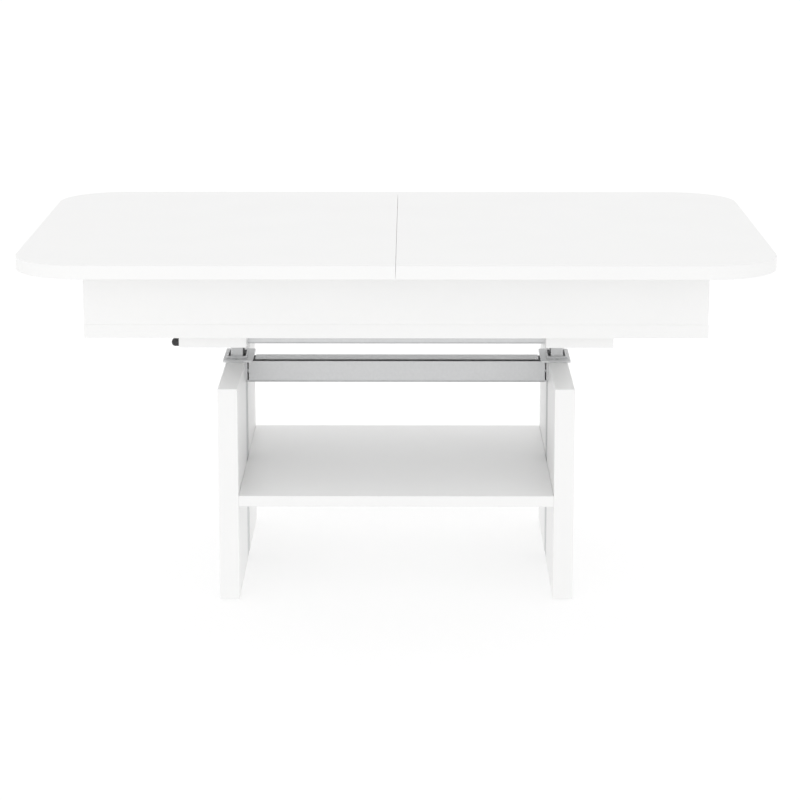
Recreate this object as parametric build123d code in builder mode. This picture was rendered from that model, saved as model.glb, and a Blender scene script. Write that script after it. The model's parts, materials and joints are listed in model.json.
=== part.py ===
from build123d import *
import math
import os

# Lift-top coffee table: two tabletop halves that pull apart over a box, and a box that rises
# on two columns sliding in the legs. A shaft across the legs keeps the two columns level.
# Millimetres. X runs along the table, the front is at -Y, and the floor is Z = 0.

os.makedirs("parts", exist_ok=True)

# Tabletop
top_length = 1200
top_depth = 750
top_thickness = 22
top_height = 580
top_corner_radius = 110
top_edge_radius = 1.5
seam_gap = 0.4
seam_chamfer = 0.4

# Box under the top
box_length = 990
box_depth = 540
apron_height = 90
apron_thickness = 18
board_thickness = 22
top_clearance = 2
board_proud = 0.5
board_joint_radius = 0.4
edge_radius = 1

# Cross boards and tie rails
cross_board_inner = 239.5
cross_board_width = 108
frame_depth = 480
tie_rail_depth = 25
tie_rail_height = 22
tie_rail_wall = 2
tie_rail_front_face = 207
tie_rail_screw_x = 180
tie_rail_access_radius = 5

# Legs and shelf
leg_gap = 510
leg_thickness = 32
leg_top = 354
shelf_top = 177
shelf_thickness = 18
glide_height = 3
glide_radius = 14
glide_edge_radius = 1.2
glide_y = 200

# Lift: columns, the sleeves they slide in, and the racks
channel_depth = 29
sleeve_inset = 0.5
sleeve_wall = 1.5
sleeve_width = 58
sleeve_foot_gap = 3
sleeve_foot_thickness = 4
liner_heights = (32, 10)
liner_spacing = 28
column_center_y = 5
column_width = 20
column_depth = 50
column_wall = 2
column_corner_radius = 1
column_base = 20
slide_gap = 0.25
collar_x = 267
collar_width = 50
collar_front_reach = 46
collar_rear_reach = 50
collar_thickness = 4
collar_rim = 3
collar_slit = 4.5
collar_end_gap = 1
collar_corner_radius = 3
collar_rim_corner_radius = 2
collar_screw_inset = 8
head_plate_thickness = 5
head_plate_front = -95
head_plate_rear = 105
head_plate_reach = 12
head_plate_corner_radius = 5

# Gearing
gear_module = 1
pinion_teeth = 15
tooth_addendum = 0.8
tooth_dedendum = 1.25
tooth_backlash = 0.15
pressure_angle = math.radians(20)
rack_width = 14
pinion_width = 12
shaft_radius = 4
shaft_y = -4
bearing_radius = 6
bearing_flange_radius = 8
running_gap = 0.05

# Gas spring in the left leg
gas_radius = 7.5
gas_wall = 1.5
gas_length = 230
gas_end_wall = 3
gas_shoulder_radius = 2
gas_head_half_depth = 10
gas_head_setback = 2
piston_gap = 0.2
rod_radius = 4
rod_base = 50
rod_top = 385
piston_height = 8
pin_bore = 2.1
pin_gap = 0.1

# Cross beam between the legs, open at the top in front of its cover
beam_front = -26
beam_back = 18
beam_height = 36.5
beam_wall = 2.5
beam_end_plate = 3
beam_end_slot = 2.5
beam_front_drop = 1
cover_front = -16
cover_thickness = 1.5
cover_flange = 8
cover_end_gap = 3

# Fold line pressed in near the lower edge of the beam and the tie rails
fold_height = 1.8
fold_above_edge = 1
fold_floor = 0.5

# Release lever
release_x = 312
release_z = 406
lever_y = -119
lever_radius = 3.5
knob_radius = 6.9
knob_start = 356.2
knob_end = 370
bracket_ys = (-106.5, 37.5)
bracket_thickness = 3
bracket_half_width = 11
bracket_foot = 20

# Leaf kept in the box
leaf_width = 400
leaf_lift = 3

# Heights and places that follow from the sizes above
top_underside = top_height - top_thickness
top_middle = top_height - top_thickness / 2
box_top = top_underside - top_clearance
box_floor = box_top - apron_height
box_base = box_floor - board_thickness
cross_board_base = box_base - board_thickness
column_top = cross_board_base - head_plate_thickness
leg_inner = leg_gap / 2
leg_outer = leg_inner + leg_thickness
channel_back = leg_inner + channel_depth
sleeve_face = leg_inner + sleeve_inset
sleeve_front = column_center_y - sleeve_width / 2
sleeve_rear = column_center_y + sleeve_width / 2
column_x = (sleeve_face + channel_back) / 2
column_inner = column_x - column_width / 2
column_outer = column_x + column_width / 2
column_front = column_center_y - column_depth / 2
column_rear = column_center_y + column_depth / 2
column_cavity_front = column_front + column_wall
column_cavity_rear = column_rear - column_wall
column_cavity_back = column_outer - column_wall
sleeve_base = glide_height + sleeve_foot_gap
sleeve_floor = sleeve_base + sleeve_foot_thickness
shaft_z = leg_top - beam_height / 2
collar_top = leg_top + collar_thickness
collar_front = column_center_y - collar_front_reach
collar_rear = column_center_y + collar_rear_reach
collar_inner = collar_x - collar_width / 2
beam_base = leg_top - beam_height
pinion_radius = gear_module * pinion_teeth / 2
rack_pitch_y = shaft_y - pinion_radius
gas_y = column_cavity_rear - gas_head_half_depth
apron_inner_y = box_depth / 2 - apron_thickness
apron_inner_x = box_length / 2 - apron_thickness

sides = {"left": -1, "right": 1}


def save(piece, name):
    """Name a finished piece and write it out."""
    piece.part.label = name
    export_step(piece.part, f"parts/{name}.step")


def block(x_limits, y_limits, z_limits, mode=Mode.ADD):
    """Rectangular block between pairs of limits, added to the part being built."""
    length = abs(x_limits[1] - x_limits[0])
    depth = abs(y_limits[1] - y_limits[0])
    middle = (sum(x_limits) / 2, sum(y_limits) / 2)
    with BuildSketch(Plane.XY.offset(min(z_limits))) as outline:
        with Locations(middle):
            Rectangle(length, depth)
    extrude(outline.sketch, amount=abs(z_limits[1] - z_limits[0]), mode=mode)


def mirrored(sign, *limits):
    """Limits measured outwards from the middle, moved to the left (-1) or right (+1)."""
    return tuple(sign * limit for limit in limits)


def bore(plane, radius, depth):
    """Round hole along the plane's normal, cut from the part being built."""
    with BuildSketch(plane) as circle:
        Circle(radius)
    extrude(circle.sketch, amount=depth, mode=Mode.SUBTRACT)


# ---------------------------------------------------------------- fasteners


def countersunk_screw(head_radius, shank_radius, length):
    """Screw with its flat head at the origin and its shank along -Z."""
    cone = head_radius - shank_radius
    with BuildPart() as screw:
        with BuildSketch(Plane.XZ):
            with BuildLine():
                Polyline(
                    (0, 0),
                    (head_radius, 0),
                    (shank_radius, -cone),
                    (shank_radius, shank_radius - length),
                    (0, -length),
                    close=True,
                )
            make_face()
        revolve(axis=Axis.Z)
    return screw.part


def pan_screw(head_radius, head_height, shank_radius, length):
    """Screw with the underside of its head at the origin and its shank along -Z."""
    with BuildPart() as screw:
        Cylinder(head_radius, head_height, align=(Align.CENTER, Align.CENTER, Align.MIN))
        fillet(screw.edges().sort_by(Axis.Z)[-1], head_height / 3)
        Cylinder(shank_radius, length, align=(Align.CENTER, Align.CENTER, Align.MAX))
    return screw.part


def dowel(radius, length):
    """Dowel along Z, centred on the origin, with chamfered ends."""
    with BuildPart() as pin:
        Cylinder(radius, length)
        chamfer(pin.edges(), radius / 4)
    return pin.part


def placed(shape, points, direction):
    """Copies of a shape with its +Z turned to face the given direction."""
    copies = []
    for point in points:
        copies.append(shape.moved(Plane(point, z_dir=direction).location))
    return copies


def group(shapes, head_top=None):
    """Separate solids gathered into one part, with a cross recess where they have screw heads."""
    with BuildPart() as gathered:
        for shape in shapes:
            add(shape)
        if head_top is not None:
            recess = cross_recess(head_top)
            for shape in shapes:
                add(recess.moved(shape.location), mode=Mode.SUBTRACT)
    return gathered


def cross_recess(head_top):
    """Cross-shaped socket sunk into a screw head whose top is at the given height."""
    with BuildPart(mode=Mode.PRIVATE) as socket:
        with BuildSketch(Plane.XY.offset(head_top - recess_depth)) as cross:
            Rectangle(recess_span, recess_width)
            Rectangle(recess_width, recess_span)
        extrude(cross.sketch, amount=recess_depth + 1)
    return socket.part


def cut(shapes):
    """Take each shape out of the part being built."""
    for shape in shapes:
        add(shape, mode=Mode.SUBTRACT)


down = (0, 0, -1)
up = (0, 0, 1)
recess_depth = 1.4
recess_span = 4.4
recess_width = 0.9
rail_head_height = 2.4
beam_head_height = 2.8

shelf_screw = countersunk_screw(4.75, 3.25, 48)
board_screw = countersunk_screw(4.5, 2.25, 36)
plate_screw = countersunk_screw(4, 2, 16)
runner_screw = countersunk_screw(3, 1.6, 26)
rail_screw = pan_screw(4, rail_head_height, 2, 16)
beam_screw = pan_screw(4.5, beam_head_height, 2.5, 5)
seam_dowel = dowel(4, 30)

cap_depth = 2.5
cap_radius = 6
shelf_screw_y = 160
shelf_middle = shelf_top - shelf_thickness / 2
shelf_screws = []
shelf_caps = []
for sign in sides.values():
    head_x = sign * (leg_outer - cap_depth)
    points = [(head_x, y, shelf_middle) for y in (-shelf_screw_y, shelf_screw_y)]
    shelf_screws += placed(shelf_screw, points, (sign, 0, 0))
    with BuildPart() as cap:
        Cylinder(cap_radius, cap_depth, align=(Align.CENTER, Align.CENTER, Align.MIN))
    shelf_caps += placed(cap.part, points, (sign, 0, 0))

collar_screws = []
head_plate_screws = []
cross_board_screws = []
beam_screws = []
head_plate_screw_ys = (-80, -50, 60, 90)
cross_board_screw_y = 150
cross_board_screw_inset = 20
beam_screw_spacing = 13
for sign in sides.values():
    for y in (collar_front + collar_screw_inset, collar_rear - collar_screw_inset):
        collar_screws += placed(plate_screw, [(sign * column_x, y, collar_top)], up)
    for y in head_plate_screw_ys:
        head_plate_screws += placed(plate_screw, [(sign * column_x, y, column_top)], down)
    near = cross_board_inner + cross_board_screw_inset
    far = cross_board_inner + cross_board_width - cross_board_screw_inset
    for x in (near, far):
        for y in (-cross_board_screw_y, cross_board_screw_y):
            cross_board_screws += placed(board_screw, [(sign * x, y, cross_board_base)], down)
    for y in (shaft_y - beam_screw_spacing, shaft_y + beam_screw_spacing):
        beam_end = sign * (leg_inner - beam_end_plate)
        beam_screws += placed(beam_screw, [(beam_end, y, shaft_z)], (-sign, 0, 0))

bracket_foot_z = cross_board_base - bracket_thickness
bracket_screw_reach = 11.5
bracket_sides = dict(zip(bracket_ys, (-1, 1)))
for y, toward in bracket_sides.items():
    point = (-release_x, y + bracket_screw_reach * toward, bracket_foot_z)
    head_plate_screws += placed(plate_screw, [point], down)

apron_screws = []
apron_screw_xs = (-420, -140, 140, 420)
apron_screw_ys = (-160, 160)
apron_middle_x = (box_length - apron_thickness) / 2
apron_middle_y = (box_depth - apron_thickness) / 2
for x in apron_screw_xs:
    for y in (-apron_middle_y, apron_middle_y):
        apron_screws += placed(board_screw, [(x, y, box_base)], down)
for x in (-apron_middle_x, apron_middle_x):
    for y in apron_screw_ys:
        apron_screws += placed(board_screw, [(x, y, box_base)], down)

tie_rail_y = tie_rail_front_face - tie_rail_depth / 2
tie_rail_points = []
for x in (-tie_rail_screw_x, tie_rail_screw_x):
    for y in (-tie_rail_y, tie_rail_y):
        tie_rail_points.append((x, y, box_base - tie_rail_wall))
tie_rail_screws = placed(rail_screw, tie_rail_points, down)

# ---------------------------------------------------------------- base


def leg(sign):
    """Leg panel with a channel down its inner face for the guide sleeve."""
    with BuildPart() as panel:
        block(
            mirrored(sign, leg_inner, leg_outer),
            (-frame_depth / 2, frame_depth / 2),
            (glide_height, leg_top),
        )
        fillet(panel.edges(), edge_radius)
        block(
            mirrored(sign, leg_inner - 1, channel_back),
            (sleeve_front, sleeve_rear),
            (glide_height - 1, leg_top + 1),
            Mode.SUBTRACT,
        )
        cut(shelf_screws)
        cut(shelf_caps)
        cut(collar_screws)
    return panel


def guide_sleeve(sign):
    """Steel tube standing in the leg, closed by a foot plate, with a hole for the shaft."""
    with BuildPart() as sleeve:
        block(
            mirrored(sign, sleeve_face, channel_back),
            (sleeve_front, sleeve_rear),
            (sleeve_base, leg_top),
        )
        block(
            mirrored(sign, sleeve_face + sleeve_wall, channel_back - sleeve_wall),
            (sleeve_front + sleeve_wall, sleeve_rear - sleeve_wall),
            (sleeve_floor, leg_top + 1),
            Mode.SUBTRACT,
        )
        hole_plane = Plane((0, shaft_y, shaft_z), x_dir=(0, 1, 0), z_dir=(sign, 0, 0))
        bore(hole_plane, bearing_radius, sleeve_face + sleeve_wall + 1)
        cut(beam_screws)
    return sleeve


def guide_liners(sign):
    """Two plastic rings that fill the sleeve around the column, below and above the shaft."""
    lower_height, upper_height = liner_heights
    upper_base = leg_top - upper_height
    lower_top = upper_base - liner_spacing
    lower_base = lower_top - lower_height
    with BuildPart() as liners:
        for bottom, top in ((lower_base, lower_top), (upper_base, leg_top)):
            block(
                mirrored(sign, sleeve_face + sleeve_wall, channel_back - sleeve_wall),
                (sleeve_front + sleeve_wall, sleeve_rear - sleeve_wall),
                (bottom, top),
            )
        block(
            mirrored(sign, column_inner - slide_gap, column_outer + slide_gap),
            (column_front - slide_gap, column_rear + slide_gap),
            (lower_base - 1, leg_top + 1),
            Mode.SUBTRACT,
        )
    return liners


def collar(sign):
    """Steel cap over the leg and the beam's end, with a rimmed hole the column rises through."""
    with BuildPart() as plate:
        with BuildSketch(Plane.XY.offset(leg_top)):
            with Locations((sign * collar_x, (collar_front + collar_rear) / 2)):
                RectangleRounded(collar_width, collar_rear - collar_front, collar_corner_radius)
        extrude(amount=collar_thickness)
        fillet(plate.faces().sort_by(Axis.Z)[-1].edges(), edge_radius)
        hole_width = column_width + 2 * collar_slit
        hole_depth = column_depth + 2 * collar_end_gap
        with BuildSketch(Plane.XY.offset(collar_top)):
            with Locations((sign * column_x, column_center_y)):
                RectangleRounded(
                    hole_width + 2 * collar_rim,
                    hole_depth + 2 * collar_rim,
                    collar_rim_corner_radius,
                )
        extrude(amount=collar_rim)
        with BuildSketch(Plane.XY.offset(leg_top)):
            with Locations((sign * column_x, column_center_y)):
                Rectangle(hole_width, hole_depth)
        extrude(amount=collar_thickness + collar_rim, mode=Mode.SUBTRACT)
        cut(collar_screws)
    return plate


for side, sign in sides.items():
    save(leg(sign), f"leg_{side}")
    save(guide_sleeve(sign), f"guide_sleeve_{side}")
    save(guide_liners(sign), f"guide_liners_{side}")
    save(collar(sign), f"collar_{side}")

with BuildPart() as shelf:
    block(
        (-leg_inner, leg_inner),
        (-frame_depth / 2, frame_depth / 2),
        (shelf_top - shelf_thickness, shelf_top),
    )
    fillet(shelf.edges(), edge_radius)
    cut(shelf_screws)
save(shelf, "shelf")

beam_inside = leg_inner - beam_end_plate
with BuildPart() as cross_beam:
    block((-leg_inner, leg_inner), (beam_front, beam_back), (beam_base, leg_top))
    fillet(cross_beam.edges().filter_by(Axis.X).group_by(Axis.Z)[0], edge_radius)
    block(
        (-beam_inside, beam_inside),
        (beam_front + beam_wall, beam_back - beam_wall),
        (beam_base + beam_wall, leg_top + 1),
        Mode.SUBTRACT,
    )
    block(
        (-leg_inner, leg_inner),
        (beam_front - 1, beam_front + beam_wall),
        (leg_top - beam_front_drop, leg_top + 1),
        Mode.SUBTRACT,
    )
    block(
        (-leg_inner, leg_inner),
        (beam_front - 1, beam_front + beam_wall - fold_floor),
        (beam_base + fold_above_edge, beam_base + fold_above_edge + fold_height),
        Mode.SUBTRACT,
    )
    for sign in sides.values():
        block(
            mirrored(sign, beam_inside - beam_end_slot, beam_inside),
            (beam_front - 1, beam_front + beam_wall),
            (beam_base - 1, leg_top + 1),
            Mode.SUBTRACT,
        )
    shaft_way = Plane((-leg_inner - 1, shaft_y, shaft_z), z_dir=(1, 0, 0))
    bore(shaft_way, bearing_radius, leg_gap + 2)
    cut(beam_screws)
save(cross_beam, "cross_beam")

cover_end = collar_inner - cover_end_gap
cover_rear_inside = beam_back - beam_wall
with BuildPart() as cross_beam_cover:
    block(
        (-cover_end, cover_end),
        (cover_front, beam_back),
        (leg_top, leg_top + cover_thickness),
    )
    block(
        (-cover_end, cover_end),
        (cover_rear_inside - cover_thickness, cover_rear_inside),
        (leg_top - cover_flange, leg_top),
    )
save(cross_beam_cover, "cross_beam_cover")

# Flanged bushes that carry the shaft in the beam ends and the sleeves
bearings = []
bearing_flange = 1.5
bearing_length = sleeve_face + sleeve_wall - beam_inside
for sign in sides.values():
    with BuildPart() as bearing:
        Cylinder(bearing_radius, bearing_length, align=(Align.CENTER, Align.CENTER, Align.MIN))
        Cylinder(bearing_flange_radius, bearing_flange, align=(Align.CENTER, Align.CENTER, Align.MAX))
        Cylinder(shaft_radius + running_gap, 3 * bearing_length, mode=Mode.SUBTRACT)
    bearings += placed(bearing.part, [(sign * beam_inside, shaft_y, shaft_z)], (sign, 0, 0))
save(group(bearings), "shaft_bearings")

gas_foot_height = 4
gas_base = sleeve_floor + gas_foot_height
gas_top_wall = 8
with BuildPart() as gas_spring_cylinder:
    with BuildSketch(Plane.XY.offset(sleeve_floor)):
        with Locations((-column_x, gas_y)):
            Circle(rod_radius)
    extrude(amount=gas_foot_height)
    with BuildSketch(Plane.XY.offset(gas_base)):
        with Locations((-column_x, gas_y)):
            Circle(gas_radius)
    extrude(amount=gas_length)
    fillet(gas_spring_cylinder.edges().sort_by(Axis.Z)[-1], gas_shoulder_radius)
    inside = Plane((-column_x, gas_y, gas_base + gas_end_wall))
    bore(inside, gas_radius - gas_wall, gas_length - gas_end_wall - gas_top_wall)
    bore(inside, rod_radius + running_gap, gas_length)
save(gas_spring_cylinder, "gas_spring_cylinder")

with BuildPart() as floor_glides:
    with BuildSketch():
        for sign in sides.values():
            for y in (-glide_y, glide_y):
                with Locations((sign * (leg_inner + leg_thickness / 2), y)):
                    Circle(glide_radius)
    extrude(amount=glide_height)
    fillet(floor_glides.edges().group_by(Axis.Z)[0], glide_edge_radius)
save(floor_glides, "floor_glides")

save(group(shelf_screws, 0), "shelf_screws")
save(group(shelf_caps), "shelf_screw_caps")
save(group(collar_screws, 0), "collar_screws")
save(group(beam_screws, beam_head_height), "cross_beam_screws")

# ---------------------------------------------------------------- lift

finger_thickness = 8
finger_half_width = 5
finger_overreach = 4
window_half_width = 8
window_base = release_z - 13
window_top = release_z + 9


def column(sign):
    """Steel channel open towards the middle of the table."""
    with BuildPart() as profile:
        block(
            mirrored(sign, column_inner, column_outer),
            (column_front, column_rear),
            (column_base, column_top),
        )
        fillet(profile.edges().filter_by(Axis.Z), column_corner_radius)
        block(
            mirrored(sign, column_inner - 1, column_cavity_back),
            (column_cavity_front, column_cavity_rear),
            (column_base - 1, column_top + 1),
            Mode.SUBTRACT,
        )
        if sign == sides["left"]:
            block(
                mirrored(sign, column_cavity_back - 1, column_outer + 1),
                (gas_y - window_half_width, gas_y + window_half_width),
                (window_base, window_top),
                Mode.SUBTRACT,
            )
    return profile


def rack(sign):
    """Toothed bar fixed inside the column's front flange, its teeth facing +Y."""
    pitch = math.pi * gear_module
    half_tooth = (pitch / 2 - tooth_backlash) / 2
    tip_half = half_tooth - tooth_addendum * math.tan(pressure_angle)
    root_half = half_tooth + tooth_dedendum * math.tan(pressure_angle)
    tip_y = rack_pitch_y + tooth_addendum
    root_y = rack_pitch_y - tooth_dedendum
    first_tooth = -57
    last_tooth = 3
    bar_base = shaft_z + (first_tooth - 1) * pitch
    bar_top = shaft_z + (last_tooth + 1) * pitch
    outline = [(column_cavity_front, bar_base)]
    outline.append((root_y, bar_base))
    for tooth in range(first_tooth, last_tooth + 1):
        middle = shaft_z + tooth * pitch
        outline.append((root_y, middle - root_half))
        outline.append((tip_y, middle - tip_half))
        outline.append((tip_y, middle + tip_half))
        outline.append((root_y, middle + root_half))
    outline.append((root_y, bar_top))
    outline.append((column_cavity_front, bar_top))
    with BuildPart() as bar:
        with BuildSketch(Plane.YZ.offset(sign * column_x)):
            with BuildLine():
                Polyline(*outline, close=True)
            make_face()
        extrude(amount=rack_width / 2, both=True)
    return bar


def head_plate(sign):
    """Plate welded across the column's top and screwed under the cross board."""
    with BuildPart() as plate:
        block(
            mirrored(sign, column_inner - head_plate_reach, column_outer + head_plate_reach),
            (head_plate_front, head_plate_rear),
            (column_top, cross_board_base),
        )
        fillet(plate.edges().filter_by(Axis.Z), head_plate_corner_radius)
        cut(head_plate_screws)
    return plate


def cross_board(sign):
    """Board across the underside of the box, above a leg."""
    with BuildPart() as board:
        block(
            mirrored(sign, cross_board_inner, cross_board_inner + cross_board_width),
            (-frame_depth / 2, frame_depth / 2),
            (cross_board_base, box_base),
        )
        fillet(board.edges(), edge_radius)
        cut(head_plate_screws)
        cut(cross_board_screws)
    return board


for side, sign in sides.items():
    save(column(sign), f"column_{side}")
    save(rack(sign), f"rack_{side}")
    save(head_plate(sign), f"head_plate_{side}")
    save(cross_board(sign), f"cross_board_{side}")

ends = {"front": -1, "rear": 1}

# Slide rails on the front and rear aprons: a channel with lips, above a screwed flange
rail_flange = 12
rail_lip_reach = 6
rail_depth = 20
rail_height = 18
rail_wall = 2
rail_half_length = 470
rail_base = box_top - rail_height
rail_lip = 3
rail_screws = []
for sign in ends.values():
    for x in apron_screw_xs:
        point = (x, sign * (apron_inner_y - rail_wall), rail_base - rail_flange / 2)
        rail_screws += placed(rail_screw, [point], (0, -sign, 0))


def tie_rail(sign):
    """Steel tube between the cross boards, under the box, with holes to reach its screws."""
    base = box_base - tie_rail_height
    near = tie_rail_front_face
    far = tie_rail_front_face - tie_rail_depth
    fold_base = base + fold_above_edge
    with BuildPart() as tube:
        block((-cross_board_inner, cross_board_inner), mirrored(sign, near, far), (base, box_base))
        fillet(tube.edges().filter_by(Axis.X), edge_radius)
        block(
            (-cross_board_inner - 1, cross_board_inner + 1),
            mirrored(sign, near - tie_rail_wall, far + tie_rail_wall),
            (base + tie_rail_wall, box_base - tie_rail_wall),
            Mode.SUBTRACT,
        )
        block(
            (-cross_board_inner - 1, cross_board_inner + 1),
            mirrored(sign, near - tie_rail_wall + fold_floor, near + 1),
            (fold_base, fold_base + fold_height),
            Mode.SUBTRACT,
        )
        cut(tie_rail_screws)
        for x, y, _ in tie_rail_points:
            bore(Plane((x, y, base - 1)), tie_rail_access_radius, tie_rail_wall + 2)
    return tube


def long_apron(sign):
    """Front or rear apron, the full length of the box, square where it meets the bottom."""
    with BuildPart() as board:
        block(
            (-box_length / 2, box_length / 2),
            mirrored(sign, apron_inner_y, box_depth / 2),
            (box_floor, box_top),
        )
        lower, upright, upper = board.edges().group_by(Axis.Z)
        fillet(upright + upper, edge_radius)
        cut(apron_screws)
        cut(rail_screws)
    return board


def end_apron(sign):
    """End apron between the long aprons, notched at its top corners for the runners."""
    with BuildPart() as board:
        block(
            mirrored(sign, apron_inner_x, box_length / 2),
            (-apron_inner_y, apron_inner_y),
            (box_floor, box_top),
        )
        for end in ends.values():
            block(
                mirrored(sign, apron_inner_x - 1, box_length / 2 + 1),
                mirrored(end, apron_inner_y - rail_depth, apron_inner_y + 1),
                (rail_base, box_top + 1),
                Mode.SUBTRACT,
            )
        cut(apron_screws)
    return board


def slide_rail(sign):
    """Channel that the runners of both tabletop halves slide in."""
    wall = sign * apron_inner_y
    with BuildPart() as rail:
        with BuildSketch(Plane.YZ.offset(-rail_half_length)):
            with BuildLine():
                Polyline(
                    (wall, rail_base - rail_flange),
                    (wall, box_top),
                    (wall - sign * rail_lip_reach, box_top),
                    (wall - sign * rail_lip_reach, box_top - rail_lip),
                    (wall - sign * rail_wall, box_top - rail_lip),
                    (wall - sign * rail_wall, rail_base + rail_wall),
                    (wall - sign * (rail_depth - rail_wall), rail_base + rail_wall),
                    (wall - sign * (rail_depth - rail_wall), box_top - rail_lip),
                    (wall - sign * (rail_depth - rail_lip_reach), box_top - rail_lip),
                    (wall - sign * (rail_depth - rail_lip_reach), box_top),
                    (wall - sign * rail_depth, box_top),
                    (wall - sign * rail_depth, rail_base),
                    (wall - sign * rail_wall, rail_base),
                    (wall - sign * rail_wall, rail_base - rail_flange),
                    close=True,
                )
            make_face()
        extrude(amount=2 * rail_half_length)
        cut(rail_screws)
    return rail


for side, sign in ends.items():
    save(tie_rail(sign), f"tie_rail_{side}")
    save(long_apron(sign), f"apron_{side}")
    save(slide_rail(sign), f"slide_rail_{side}")
for side, sign in sides.items():
    save(end_apron(sign), f"apron_{side}")

with BuildPart() as box_bottom:
    block(
        (-box_length / 2 - board_proud, box_length / 2 + board_proud),
        (-box_depth / 2 - board_proud, box_depth / 2 + board_proud),
        (box_base, box_floor),
    )
    lower, upright, upper = box_bottom.edges().group_by(Axis.Z)
    fillet(lower + upright, edge_radius)
    fillet(box_bottom.edges().group_by(Axis.Z)[-1], board_joint_radius)
    cut(apron_screws)
    cut(cross_board_screws)
    cut(tie_rail_screws)
save(box_bottom, "box_bottom")

# The leaf lies in the box turned a quarter, on four felt pads
leaf_base = box_floor + leaf_lift
leaf_middle = leaf_base + top_thickness / 2
dowel_places = (-250, 0, 250)
dowel_hole_radius = 4.2
dowel_hole_depth = 16
leaf_front_edge = [(x, -leaf_width / 2, leaf_middle) for x in dowel_places]
leaf_rear_edge = [(x, leaf_width / 2, leaf_middle) for x in dowel_places]
leaf_dowels = placed(seam_dowel, leaf_front_edge, (0, -1, 0))
with BuildPart() as extension_leaf:
    block(
        (-top_depth / 2, top_depth / 2),
        (-leaf_width / 2, leaf_width / 2),
        (leaf_base, leaf_base + top_thickness),
    )
    fillet(extension_leaf.edges().filter_by(Axis.Y), top_edge_radius)
    cut(leaf_dowels)
    for point in leaf_rear_edge:
        bore(Plane(point, z_dir=(0, -1, 0)), dowel_hole_radius, dowel_hole_depth)
save(extension_leaf, "extension_leaf")
save(group(leaf_dowels), "leaf_dowels")

pad_spacing_x = 560
pad_spacing_y = 260
pad_radius = 16
with BuildPart() as leaf_pads:
    with BuildSketch(Plane.XY.offset(box_floor)):
        with GridLocations(pad_spacing_x, pad_spacing_y, 2, 2):
            Circle(pad_radius)
    extrude(amount=leaf_lift)
save(leaf_pads, "leaf_pads")

# Gas spring rod, held at its top in a block fixed inside the left column
head_height = 15
pin_reach = 8
with BuildPart() as gas_spring_rod:
    with BuildSketch(Plane.XY.offset(rod_base)):
        with Locations((-column_x, gas_y)):
            Circle(gas_radius - gas_wall - piston_gap)
    extrude(amount=piston_height)
    with BuildSketch(Plane.XY.offset(rod_base)):
        with Locations((-column_x, gas_y)):
            Circle(rod_radius)
    extrude(amount=rod_top - rod_base)
    bore(Plane((-column_x, gas_y, rod_top - head_height + 1)), pin_bore, head_height)
save(gas_spring_rod, "gas_spring_rod")

with BuildPart() as gas_spring_head:
    block(
        mirrored(-1, column_inner + gas_head_setback, column_cavity_back),
        (gas_y - gas_head_half_depth, column_cavity_rear),
        (rod_top - head_height, rod_top),
    )
    chamfer(gas_spring_head.edges().filter_by(Axis.Z), 1)
    bore(Plane((-column_x, gas_y, rod_top - head_height - 1)), rod_radius, head_height + 2)
save(gas_spring_head, "gas_spring_head")

# Brackets under the left cross board that carry the release shaft
with BuildPart() as release_brackets:
    width = (-release_x - bracket_half_width, -release_x + bracket_half_width)
    half = bracket_thickness / 2
    for y, toward in bracket_sides.items():
        block(width, (y - half, y + half), (release_z - bracket_half_width, cross_board_base))
        block(width, (y, y + bracket_foot * toward), (bracket_foot_z, cross_board_base))
    shaft_hole = Plane((-release_x, bracket_ys[0] - bracket_foot, release_z), z_dir=(0, 1, 0))
    bore(shaft_hole, shaft_radius + running_gap, 2 * bracket_foot + bracket_ys[1] - bracket_ys[0])
    cut(head_plate_screws)
save(release_brackets, "release_brackets")

save(group(head_plate_screws, 0), "head_plate_screws")
save(group(cross_board_screws + apron_screws, 0), "box_screws")
save(group(tie_rail_screws + rail_screws, rail_head_height), "rail_screws")

# ---------------------------------------------------------------- sync shaft


def involute(angle):
    """Involute function of a pressure angle."""
    return math.tan(angle) - angle


def tooth_half_angle(radius):
    """Half the angle that a pinion tooth spans at a radius."""
    base_radius = pinion_radius * math.cos(pressure_angle)
    at_pitch = (math.pi * gear_module / 2 - tooth_backlash) / (2 * pinion_radius)
    local_angle = math.acos(min(1, base_radius / radius))
    return at_pitch + involute(pressure_angle) - involute(local_angle)


def pinion_outline():
    """Corners of the pinion, with a tooth space facing the rack at -Y."""
    root_radius = pinion_radius - tooth_dedendum
    base_radius = pinion_radius * math.cos(pressure_angle)
    tip_radius = pinion_radius + tooth_addendum
    steps = 4
    flank = [base_radius + (tip_radius - base_radius) * i / steps for i in range(steps + 1)]
    radii = [root_radius] + flank
    outline = []
    for tooth in range(pinion_teeth):
        middle = math.pi + (tooth + 0.5) * 2 * math.pi / pinion_teeth
        for radius in radii:
            angle = middle - tooth_half_angle(max(radius, base_radius))
            outline.append((radius * math.cos(angle), radius * math.sin(angle)))
        for radius in reversed(radii):
            angle = middle + tooth_half_angle(max(radius, base_radius))
            outline.append((radius * math.cos(angle), radius * math.sin(angle)))
    return outline


for side, sign in sides.items():
    with BuildPart() as pinion:
        gear_plane = Plane((sign * column_x, shaft_y, shaft_z), x_dir=(0, 1, 0), z_dir=(1, 0, 0))
        with BuildSketch(gear_plane):
            with BuildLine():
                Polyline(*pinion_outline(), close=True)
            make_face()
            Circle(shaft_radius, mode=Mode.SUBTRACT)
        extrude(amount=pinion_width / 2, both=True)
    save(pinion, f"pinion_{side}")

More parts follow.
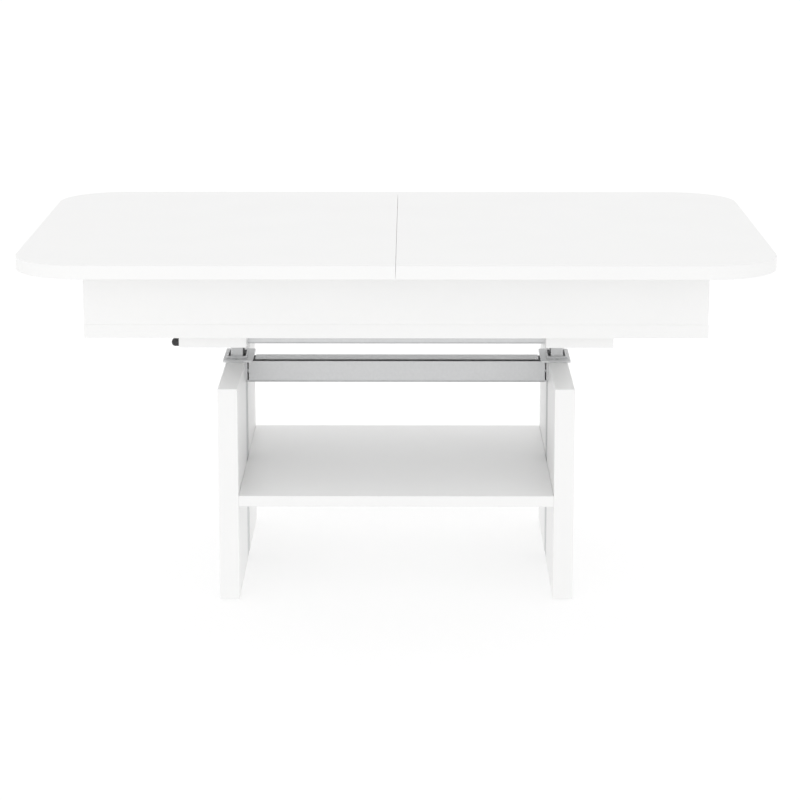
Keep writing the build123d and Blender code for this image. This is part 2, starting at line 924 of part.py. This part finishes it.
shaft_half_length = column_cavity_back - 1
with BuildPart() as sync_shaft:
    with BuildSketch(Plane((-shaft_half_length, shaft_y, shaft_z), z_dir=(1, 0, 0))):
        Circle(shaft_radius)
    extrude(amount=2 * shaft_half_length)
    chamfer(sync_shaft.edges(), 0.5)
save(sync_shaft, "sync_shaft")

# ---------------------------------------------------------------- release lever and pin

hub_radius = 7
hub_length = 12
release_shaft_rear = 45
lever_hub = Plane((-release_x, lever_y - hub_length / 2, release_z), z_dir=(0, 1, 0))
finger_hub = Plane((-release_x, gas_y - hub_length / 2, release_z), z_dir=(0, 1, 0))
with BuildPart() as release_shaft:
    with BuildSketch(lever_hub):
        Circle(shaft_radius)
    extrude(amount=release_shaft_rear - lever_hub.origin.Y)
    with BuildSketch(finger_hub):
        Circle(hub_radius)
    extrude(amount=hub_length)
    block(
        (-release_x, -column_x + finger_overreach),
        (gas_y - finger_half_width, gas_y + finger_half_width),
        (release_z - finger_thickness / 2, release_z + finger_thickness / 2),
    )
save(release_shaft, "release_shaft")

lever_root = release_x + shaft_radius + 1
knob_socket = 8
with BuildPart() as release_lever:
    with BuildSketch(lever_hub):
        Circle(hub_radius)
        Circle(shaft_radius, mode=Mode.SUBTRACT)
    extrude(amount=hub_length)
    with BuildSketch(Plane((-lever_root, lever_y, release_z), z_dir=(-1, 0, 0))):
        Circle(lever_radius)
    extrude(amount=knob_start + knob_socket - lever_root)
save(release_lever, "release_lever")

with BuildPart() as release_knob:
    with BuildSketch(Plane((-knob_start, lever_y, release_z), z_dir=(-1, 0, 0))):
        Circle(knob_radius)
    extrude(amount=knob_end - knob_start)
    fillet(release_knob.edges().sort_by(Axis.X)[0], knob_radius - 0.5)
    fillet(release_knob.edges().sort_by(Axis.X)[-1], 1)
    socket = Plane((-knob_start + 1, lever_y, release_z), z_dir=(-1, 0, 0))
    bore(socket, lever_radius, knob_socket + 1)
save(release_knob, "release_knob")

pin_base = rod_top - pin_reach
pin_play = 0.3
with BuildPart() as release_pin:
    with BuildSketch(Plane.XY.offset(pin_base)):
        with Locations((-column_x, gas_y)):
            Circle(pin_bore - pin_gap)
    extrude(amount=release_z - finger_thickness / 2 - pin_play - pin_base)
save(release_pin, "release_pin")

# ---------------------------------------------------------------- tabletop halves

foot_width = 15
foot_gap = 0.4
foot_top = box_top - rail_lip - foot_gap
foot_base = rail_base + rail_wall + foot_gap
stem_width = 7
runner_start = 20
runner_end = 450
runner_y = apron_inner_y - rail_depth / 2
runner_screw_xs = (60, 235, 410)
seam_dowel_points = [(0, y, top_middle) for y in dowel_places]
seam_dowels = placed(seam_dowel, seam_dowel_points, (-1, 0, 0))
runner_screws = {}
for side, sign in sides.items():
    points = []
    for x in runner_screw_xs:
        for end in ends.values():
            points.append((sign * x, end * runner_y, foot_base))
    runner_screws[side] = placed(runner_screw, points, down)


def tabletop(side, sign):
    """Half of the top, rounded at its two outer corners and square at the seam."""
    with BuildPart() as half:
        with BuildSketch(Plane.XY.offset(top_underside)) as outline:
            RectangleRounded(top_length, top_depth, top_corner_radius)
            with Locations((-sign * (top_length / 4 - seam_gap / 4), 0)):
                Rectangle(top_length / 2 + seam_gap / 2, top_depth + 2, mode=Mode.SUBTRACT)
        extrude(amount=top_thickness)
        level = half.edges().group_by(Axis.Z)
        rim = [edge for edge in level[0] + level[-1] if abs(edge.center().X) > seam_gap]
        fillet(rim, top_edge_radius)
        across = half.edges().filter_by(Axis.Y)
        chamfer([edge for edge in across if abs(edge.center().X) < seam_gap], seam_chamfer)
        cut(runner_screws[side])
        if side == "left":
            cut(seam_dowels)
        else:
            for point in seam_dowel_points:
                bore(Plane(point, z_dir=(1, 0, 0)), dowel_hole_radius, dowel_hole_depth)
    return half


def runner(side, sign, end):
    """T-shaped bar under a tabletop half that slides in the rail."""
    middle = end * runner_y
    with BuildPart() as bar:
        block(
            mirrored(sign, runner_start, runner_end),
            (middle - foot_width / 2, middle + foot_width / 2),
            (foot_base, foot_top),
        )
        block(
            mirrored(sign, runner_start, runner_end),
            (middle - stem_width / 2, middle + stem_width / 2),
            (foot_top, top_underside),
        )
        cut(runner_screws[side])
    return bar


for side, sign in sides.items():
    save(tabletop(side, sign), f"tabletop_{side}")
    save(group(runner_screws[side], 0), f"runner_screws_{side}")
    for end_name, end in ends.items():
        save(runner(side, sign, end), f"runner_{end_name}_{side}")
save(group(seam_dowels), "seam_dowels")
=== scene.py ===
import json
import math

import bmesh
import bpy
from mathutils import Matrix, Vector

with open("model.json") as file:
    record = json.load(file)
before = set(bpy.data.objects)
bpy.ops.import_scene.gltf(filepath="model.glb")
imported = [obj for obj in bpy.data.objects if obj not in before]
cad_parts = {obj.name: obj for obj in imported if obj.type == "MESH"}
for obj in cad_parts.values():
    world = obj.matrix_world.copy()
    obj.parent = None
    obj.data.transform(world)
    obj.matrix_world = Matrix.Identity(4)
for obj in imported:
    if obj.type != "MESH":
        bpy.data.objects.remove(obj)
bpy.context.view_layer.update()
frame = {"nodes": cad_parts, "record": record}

# Metres. The frame's origin is on the floor under the middle of the table, with the front at -Y.

camera_place = (0.0227, -4.3337, 1.3011)
camera_tilt = math.radians(90 - 11.508)
camera_turn = math.radians(0.231)
sensor_width = 36
lens_length = 117.85
lens_shift = -0.1
far_clip = 100

floor_half_size = 30
floor_grey = 0.42
floor_glow = 0.6
surround_strength = 1.0

front_box_place = (-1.0, -3.4, 0.9)
front_box_target = (0, 0, 0.35)
front_box_size = (2.2, 2.2)
front_box_power = 7.5
rear_strip_place = (0, 2.2, 0.3)
rear_strip_target = (0, 0, 0.3)
rear_strip_size = (3.4, 0.5)
rear_strip_power = 6


# ---------------------------------------------------------------- camera


def make_camera():
    """Long lens from the front, a little above the tabletop, looking slightly down."""
    data = bpy.data.cameras.new("camera")
    camera = bpy.data.objects.new("camera", data)
    bpy.context.scene.collection.objects.link(camera)
    camera.location = camera_place
    camera.rotation_euler = (camera_tilt, 0, camera_turn)
    data.sensor_width = sensor_width
    data.lens = lens_length
    data.shift_y = lens_shift
    data.clip_end = far_clip
    bpy.context.scene.camera = camera


# ---------------------------------------------------------------- material building blocks


class Look:
    """A Principled material with small helpers for its node tree."""

    def __init__(self, name, color, roughness, metallic=0.0, specular=0.5):
        self.material = bpy.data.materials.new(name)
        self.material.use_nodes = True
        self.tree = self.material.node_tree
        self.shader = self.tree.nodes["Principled BSDF"]
        self.set("Base Color", (*color, 1))
        self.set("Roughness", roughness)
        self.set("Metallic", metallic)
        self.set("Specular IOR Level", specular)
        self.position = self.tree.nodes.new("ShaderNodeTexCoord").outputs["Object"]

    def set(self, socket, value):
        self.shader.inputs[socket].default_value = value

    def link(self, source, target):
        self.tree.links.new(source, target)

    def node(self, kind, **inputs):
        made = self.tree.nodes.new(kind)
        for name, value in inputs.items():
            socket = made.inputs[name.replace("_", " ")]
            if isinstance(value, bpy.types.NodeSocket):
                self.link(value, socket)
            else:
                socket.default_value = value
        return made

    def noise(self, size, detail=2.0, stretch=(1, 1, 1), roughness=0.5):
        """Noise whose features are about `size` metres across, stretched along an axis."""
        mapping = self.node("ShaderNodeMapping", Vector=self.position)
        mapping.inputs["Scale"].default_value = tuple(1 / (size * s) for s in stretch)
        made = self.node("ShaderNodeTexNoise", Scale=1.0, Detail=detail, Roughness=roughness)
        self.link(mapping.outputs["Vector"], made.inputs["Vector"])
        return made.outputs["Fac"]

    def spread(self, factor, low, high, start=0.3, end=0.7):
        """Map a factor to the range low to high."""
        made = self.node("ShaderNodeMapRange", Value=factor)
        made.inputs["From Min"].default_value = start
        made.inputs["From Max"].default_value = end
        made.inputs["To Min"].default_value = low
        made.inputs["To Max"].default_value = high
        return made.outputs["Result"]

    def blend_colors(self, factor, first, second):
        """Mix two colours by a factor from 0 to 1."""
        made = self.tree.nodes.new("ShaderNodeMix")
        made.data_type = "RGBA"
        self.link(factor, made.inputs["Factor"])
        made.inputs["A"].default_value = (*first, 1)
        made.inputs["B"].default_value = (*second, 1)
        return made.outputs["Result"]

    def color(self, source):
        self.link(source, self.shader.inputs["Base Color"])

    def roughness(self, source):
        self.link(source, self.shader.inputs["Roughness"])

    def bump(self, height, depth, strength=1.0, below=None):
        """Normals of a relief `depth` metres deep, on top of another relief if there is one."""
        made = self.node("ShaderNodeBump", Strength=strength, Distance=depth, Height=height)
        if below is not None:
            self.link(below, made.inputs["Normal"])
        return made.outputs["Normal"]

    def normal(self, source):
        self.link(source, self.shader.inputs["Normal"])


# ---------------------------------------------------------------- materials


def white_laminate():
    """Melamine-faced board: near white, satin, with a fine pearl texture."""
    look = Look("white_laminate", (0.89, 0.89, 0.885), 0.42)
    cloud = look.spread(look.noise(0.12, detail=3), 0, 1)
    look.color(look.blend_colors(cloud, (0.895, 0.895, 0.891), (0.886, 0.886, 0.882)))
    pearl = look.noise(0.0011)
    look.roughness(look.spread(pearl, 0.38, 0.46))
    wave = look.bump(look.noise(0.02, detail=1), 0.00004, 0.25)
    look.normal(look.bump(pearl, 0.00003, 0.5, below=wave))
    return look.material


def galvanised_sheet():
    """Zinc-coated sheet: soft grey, faintly mottled, with fine rolling lines along X."""
    look = Look("galvanised_sheet", (0.66, 0.665, 0.67), 0.45, metallic=0.7)
    spangle = look.spread(look.noise(0.005, detail=3, roughness=0.6), 0, 1)
    look.color(look.blend_colors(spangle, (0.64, 0.645, 0.65), (0.67, 0.675, 0.68)))
    lines = look.noise(0.0006, stretch=(60, 1, 1))
    look.roughness(look.spread(lines, 0.42, 0.5))
    look.normal(look.bump(lines, 0.00001, 0.3))
    return look.material


def zinc_steel():
    """Bright zinc-plated bar and turned parts."""
    look = Look("zinc_steel", (0.62, 0.62, 0.63), 0.3, metallic=1.0)
    tarnish = look.spread(look.noise(0.01), 0, 1)
    look.color(look.blend_colors(tarnish, (0.6, 0.6, 0.61), (0.68, 0.68, 0.67)))
    grain = look.noise(0.0008)
    look.roughness(look.spread(grain, 0.24, 0.38))
    look.normal(look.bump(grain, 0.00002, 0.4))
    return look.material


def screw_steel():
    """Plated screws, a little darker than the zinc-plated bar."""
    look = Look("screw_steel", (0.56, 0.57, 0.58), 0.28, metallic=1.0)
    look.roughness(look.spread(look.noise(0.0012), 0.2, 0.36))
    look.normal(look.bump(look.noise(0.0005), 0.00002, 0.4))
    return look.material


def rail_aluminium():
    """Extruded aluminium: fine die lines along its length."""
    look = Look("rail_aluminium", (0.72, 0.73, 0.74), 0.32, metallic=1.0)
    lines = look.noise(0.0005, stretch=(400, 1, 1))
    look.roughness(look.spread(lines, 0.26, 0.42))
    look.normal(look.bump(lines, 0.00002, 0.5))
    return look.material


roughness_play = 0.06


def moulded(name, color, roughness, specular=0.5):
    """Moulded plastic with a fine spark-eroded texture."""
    look = Look(name, color, roughness, specular=specular)
    skin = look.noise(0.0006)
    look.roughness(look.spread(skin, roughness - roughness_play, roughness + roughness_play))
    look.normal(look.bump(skin, 0.00003, 0.4))
    return look.material


def enamelled_steel(name, color, roughness, specular):
    """Stoved enamel on steel, with a little orange peel."""
    look = Look(name, color, roughness, specular=specular)
    gloss = look.noise(0.004)
    look.roughness(look.spread(gloss, roughness - roughness_play, roughness + roughness_play))
    paler = tuple(channel * 1.12 for channel in color)
    look.color(look.blend_colors(look.spread(look.noise(0.03, detail=3), 0, 1), color, paler))
    peel = look.noise(0.002)
    look.normal(look.bump(peel, 0.00002, 0.4))
    return look.material


def chromed_rod():
    """Polished chrome, with the faintest drawing lines up the rod."""
    look = Look("chromed_rod", (0.75, 0.76, 0.78), 0.1, metallic=1.0)
    look.roughness(look.spread(look.noise(0.0006, stretch=(1, 1, 30)), 0.07, 0.16))
    return look.material


def beech():
    """Bare beech: short darker flecks along the dowel."""
    look = Look("beech", (0.62, 0.42, 0.26), 0.6)
    fleck = look.noise(0.0012, detail=3, stretch=(6, 6, 1))
    look.color(look.blend_colors(look.spread(fleck, 0, 1), (0.66, 0.46, 0.29), (0.52, 0.34, 0.2)))
    look.normal(look.bump(fleck, 0.0001, 0.5))
    return look.material


def felt():
    """Dark pressed felt of the leaf's pads."""
    look = Look("felt", (0.2, 0.2, 0.21), 0.95, specular=0.2)
    fibre = look.noise(0.0008, detail=4, roughness=0.7)
    look.color(look.blend_colors(look.spread(fibre, 0, 1), (0.15, 0.15, 0.16), (0.27, 0.27, 0.28)))
    look.normal(look.bump(fibre, 0.0004, 0.8))
    look.set("Sheen Weight", 0.3)
    return look.material


def dress_nodes():
    """Give every CAD node the material of its slot in the record."""
    materials = {
        "white_laminate": white_laminate(),
        "galvanised_sheet": galvanised_sheet(),
        "zinc_steel": zinc_steel(),
        "screw_steel": screw_steel(),
        "rail_aluminium": rail_aluminium(),
        "liner_plastic": moulded("liner_plastic", (0.8, 0.8, 0.77), 0.5),
        "white_plastic": moulded("white_plastic", (0.84, 0.84, 0.835), 0.45),
        "grey_plastic": moulded("grey_plastic", (0.25, 0.25, 0.255), 0.5),
        "black_plastic": moulded("black_plastic", (0.022, 0.022, 0.023), 0.26),
        "black_steel": enamelled_steel("black_steel", (0.02, 0.02, 0.022), 0.3, 0.5),
        "grey_enamel": enamelled_steel("grey_enamel", (0.6, 0.605, 0.61), 0.6, 0.25),
        "chromed_rod": chromed_rod(),
        "beech": beech(),
        "felt": felt(),
    }
    for part in frame["record"]["subparts"]:
        mesh = frame["nodes"][part["node"]].data
        mesh.materials.clear()
        mesh.materials.append(materials[part["material_slot"]])


# ---------------------------------------------------------------- studio


def make_floor():
    """Wide matt floor that also glows a little, so only the softest shadow shows."""
    look = Look("floor", (floor_grey, floor_grey, floor_grey), 0.9, specular=0.05)
    look.set("Emission Color", (1, 1, 1, 1))
    look.set("Emission Strength", floor_glow)
    look.normal(look.bump(look.noise(0.02), 0.0002, 0.1))
    mesh = bpy.data.meshes.new("floor")
    shape = bmesh.new()
    bmesh.ops.create_grid(shape, x_segments=4, y_segments=4, size=floor_half_size)
    shape.to_mesh(mesh)
    shape.free()
    floor = bpy.data.objects.new("floor", mesh)
    mesh.materials.append(look.material)
    bpy.context.scene.collection.objects.link(floor)


def area_light(name, location, target, size, power):
    """Rectangular soft light turned to face a target."""
    data = bpy.data.lights.new(name, "AREA")
    data.shape = "RECTANGLE"
    data.size, data.size_y = size
    data.energy = power
    light = bpy.data.objects.new(name, data)
    light.location = location
    light.rotation_euler = (Vector(target) - Vector(location)).to_track_quat("-Z", "Y").to_euler()
    bpy.context.scene.collection.objects.link(light)


def make_lights():
    """An even white surround, with a soft box in front and a low strip behind."""
    scene = bpy.context.scene
    scene.world = bpy.data.worlds.new("surround")
    scene.world.use_nodes = True
    surround = scene.world.node_tree.nodes["Background"]
    surround.inputs["Color"].default_value = (1, 1, 1, 1)
    surround.inputs["Strength"].default_value = surround_strength
    area_light("soft_box_front", front_box_place, front_box_target, front_box_size, front_box_power)
    area_light("low_strip_rear", rear_strip_place, rear_strip_target, rear_strip_size, rear_strip_power)
    scene.view_settings.view_transform = "Standard"
    scene.view_settings.look = "None"


make_camera()
make_lights()
make_floor()
dress_nodes()
